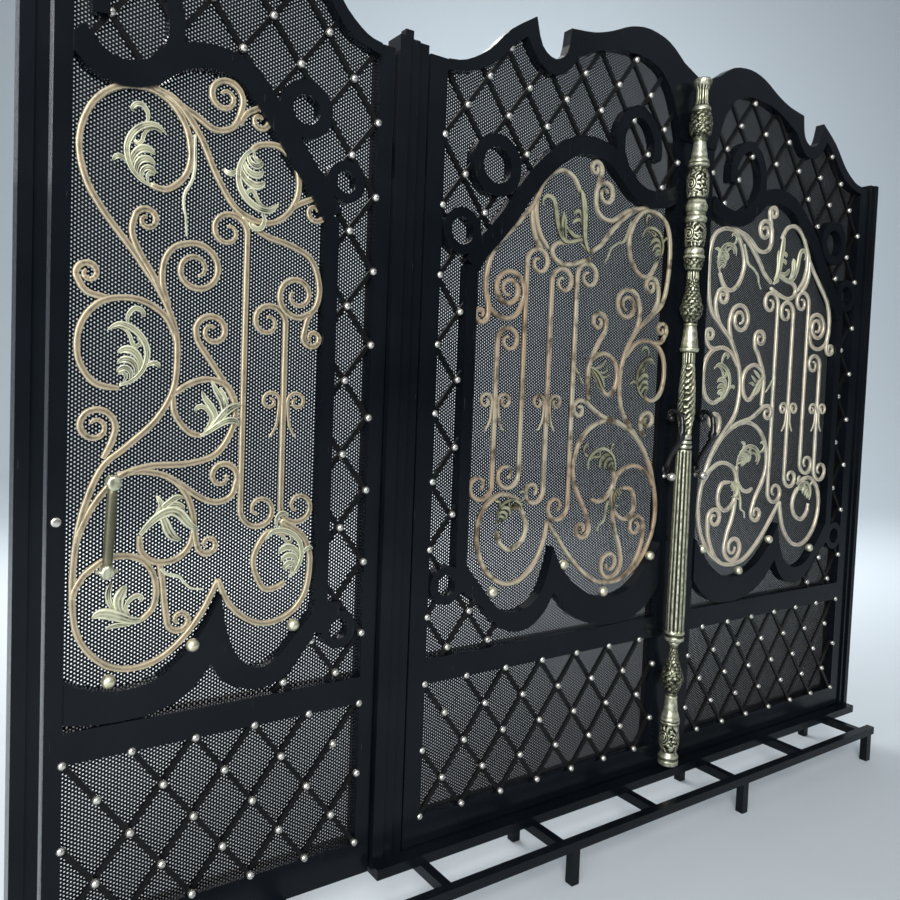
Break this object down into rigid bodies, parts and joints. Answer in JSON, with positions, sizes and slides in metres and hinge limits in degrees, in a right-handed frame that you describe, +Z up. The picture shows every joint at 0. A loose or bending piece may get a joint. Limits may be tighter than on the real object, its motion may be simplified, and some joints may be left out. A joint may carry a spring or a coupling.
{
  "type": "wrought iron driveway gate",
  "caption": "Wrought iron driveway gate: a double gate and a side wicket with perforated sheet, lattice and gilded scrolls, on a low steel stand.",
  "frame": {"origin": "on the foot of the left post, at floor level", "axes": "+X to the right along the gate seen from its front, +Y away from the viewer in front, +Z up"},
  "size_m": [3.411, 0.315, 2.77],
  "materials": {
    "frame_black": "satin",
    "lattice_black": "satin",
    "perforated_sheet": "satin",
    "rose_gold": "satin",
    "antique_gold": "satin",
    "aged_brass": "satin",
    "gloss_black": "gloss",
    "pale_metal": "satin"
  },
  "bodies": {
    "frame": {"post_left": "frame_black", "post_middle": "frame_black", "post_right": "frame_black", "sill": "frame_black", "stand_rails": "frame_black", "stand_cross_bars": "frame_black", "stand_legs": "frame_black", "hinge_pins": "frame_black"},
    "wicket_leaf": {"wicket_stiles": "frame_black", "wicket_rails": "frame_black", "wicket_top_band": "frame_black", "wicket_upper_band": "frame_black", "wicket_lower_band": "frame_black", "wicket_sheet": "perforated_sheet", "wicket_lattice": "lattice_black", "wicket_lower_lattice": "lattice_black", "wicket_scrollwork": "antique_gold", "wicket_hinges": "frame_black", "wicket_handle": "aged_brass"},
    "left_leaf": {"left_stiles": "frame_black", "left_rails": "frame_black", "left_top_band": "frame_black", "left_upper_band": "frame_black", "left_lower_band": "frame_black", "left_sheet": "perforated_sheet", "left_lattice": "lattice_black", "left_lower_lattice": "lattice_black", "left_scrollwork": "rose_gold", "left_hinges": "frame_black", "column_base": "aged_brass", "column_shaft": "aged_brass", "column_upper": "aged_brass", "column_cap": "aged_brass", "left_pull": "gloss_black", "left_knob": "pale_metal"},
    "right_leaf": {"right_stiles": "frame_black", "right_rails": "frame_black", "right_top_band": "frame_black", "right_upper_band": "frame_black", "right_lower_band": "frame_black", "right_sheet": "perforated_sheet", "right_lattice": "lattice_black", "right_lower_lattice": "lattice_black", "right_scrollwork": "rose_gold", "right_hinges": "frame_black", "right_pull": "gloss_black", "right_knob": "pale_metal"}
  },
  "joints": [
    {"name": "wicket_hinge", "type": "hinge", "parent": "frame", "child": "wicket_leaf", "pos_m": [0.896, 0.048, 0.5], "axis": [0, 0, -1], "range_deg": [0, 90]},
    {"name": "left_leaf_hinge", "type": "hinge", "parent": "frame", "child": "left_leaf", "pos_m": [1.006, 0.048, 0.5], "axis": [0, 0, 1], "range_deg": [0, 90]},
    {"name": "right_leaf_hinge", "type": "hinge", "parent": "frame", "child": "right_leaf", "pos_m": [3.33, 0.048, 0.5], "axis": [0, 0, -1], "range_deg": [0, 90]}
  ]
}
